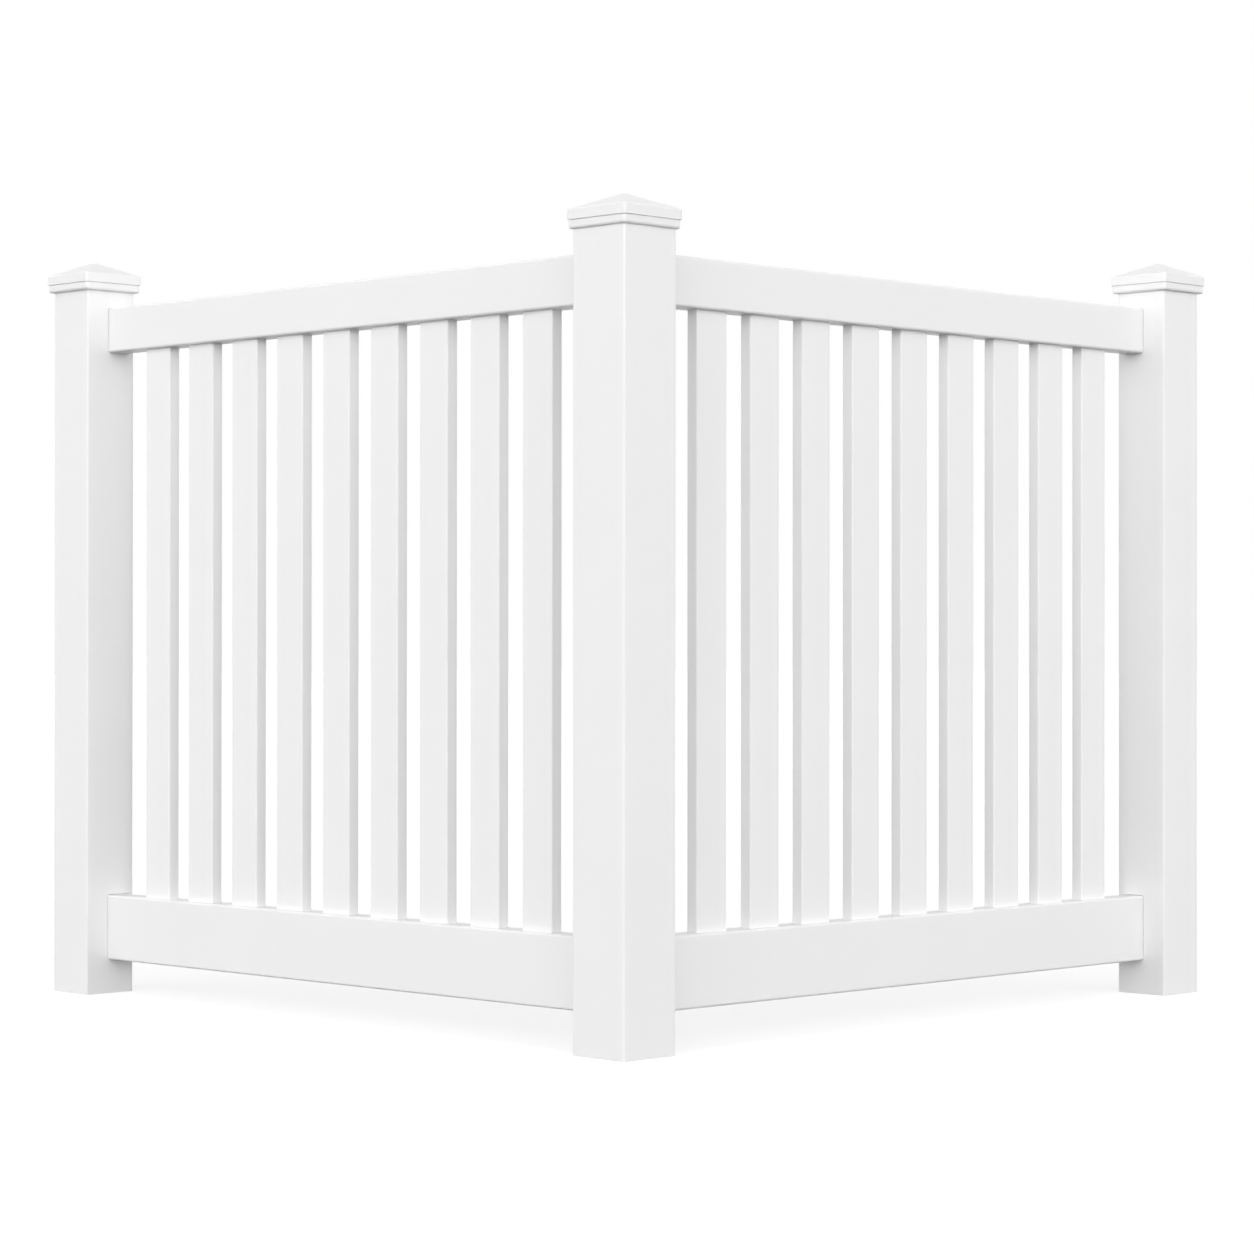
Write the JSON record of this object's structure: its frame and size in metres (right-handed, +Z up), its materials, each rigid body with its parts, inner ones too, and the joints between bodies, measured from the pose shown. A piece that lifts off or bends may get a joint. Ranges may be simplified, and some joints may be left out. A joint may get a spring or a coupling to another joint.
{
  "type": "vinyl picket fence corner",
  "caption": "White vinyl picket fence corner: a capped corner post and capped end posts joined by two closed-top picket panels at a right angle.",
  "frame": {"origin": "centre of the corner post's foot, on the ground", "axes": "+Z up; +X along the right panel and +Y along the left panel, both away from the corner post"},
  "size_m": [1.663, 1.663, 1.474],
  "materials": {
    "post_vinyl": "satin white extruded vinyl",
    "rail_vinyl": "satin white extruded vinyl",
    "picket_vinyl": "satin white extruded vinyl",
    "moulded_cap_vinyl": "satin white moulded vinyl"
  },
  "bodies": {
    "root": {"corner_post": "post_vinyl", "corner_post_cap": "moulded_cap_vinyl", "left_end_post": "post_vinyl", "left_end_post_cap": "moulded_cap_vinyl", "left_bottom_rail": "rail_vinyl", "left_top_rail": "rail_vinyl", "left_picket_1": "picket_vinyl", "left_picket_2": "picket_vinyl", "left_picket_3": "picket_vinyl", "left_picket_4": "picket_vinyl", "left_picket_5": "picket_vinyl", "left_picket_6": "picket_vinyl", "left_picket_7": "picket_vinyl", "left_picket_8": "picket_vinyl", "left_picket_9": "picket_vinyl", "right_end_post": "post_vinyl", "right_end_post_cap": "moulded_cap_vinyl", "right_bottom_rail": "rail_vinyl", "right_top_rail": "rail_vinyl", "right_picket_1": "picket_vinyl", "right_picket_2": "picket_vinyl", "right_picket_3": "picket_vinyl", "right_picket_4": "picket_vinyl", "right_picket_5": "picket_vinyl", "right_picket_6": "picket_vinyl", "right_picket_7": "picket_vinyl", "right_picket_8": "picket_vinyl", "right_picket_9": "picket_vinyl"}
  },
  "joints": []
}
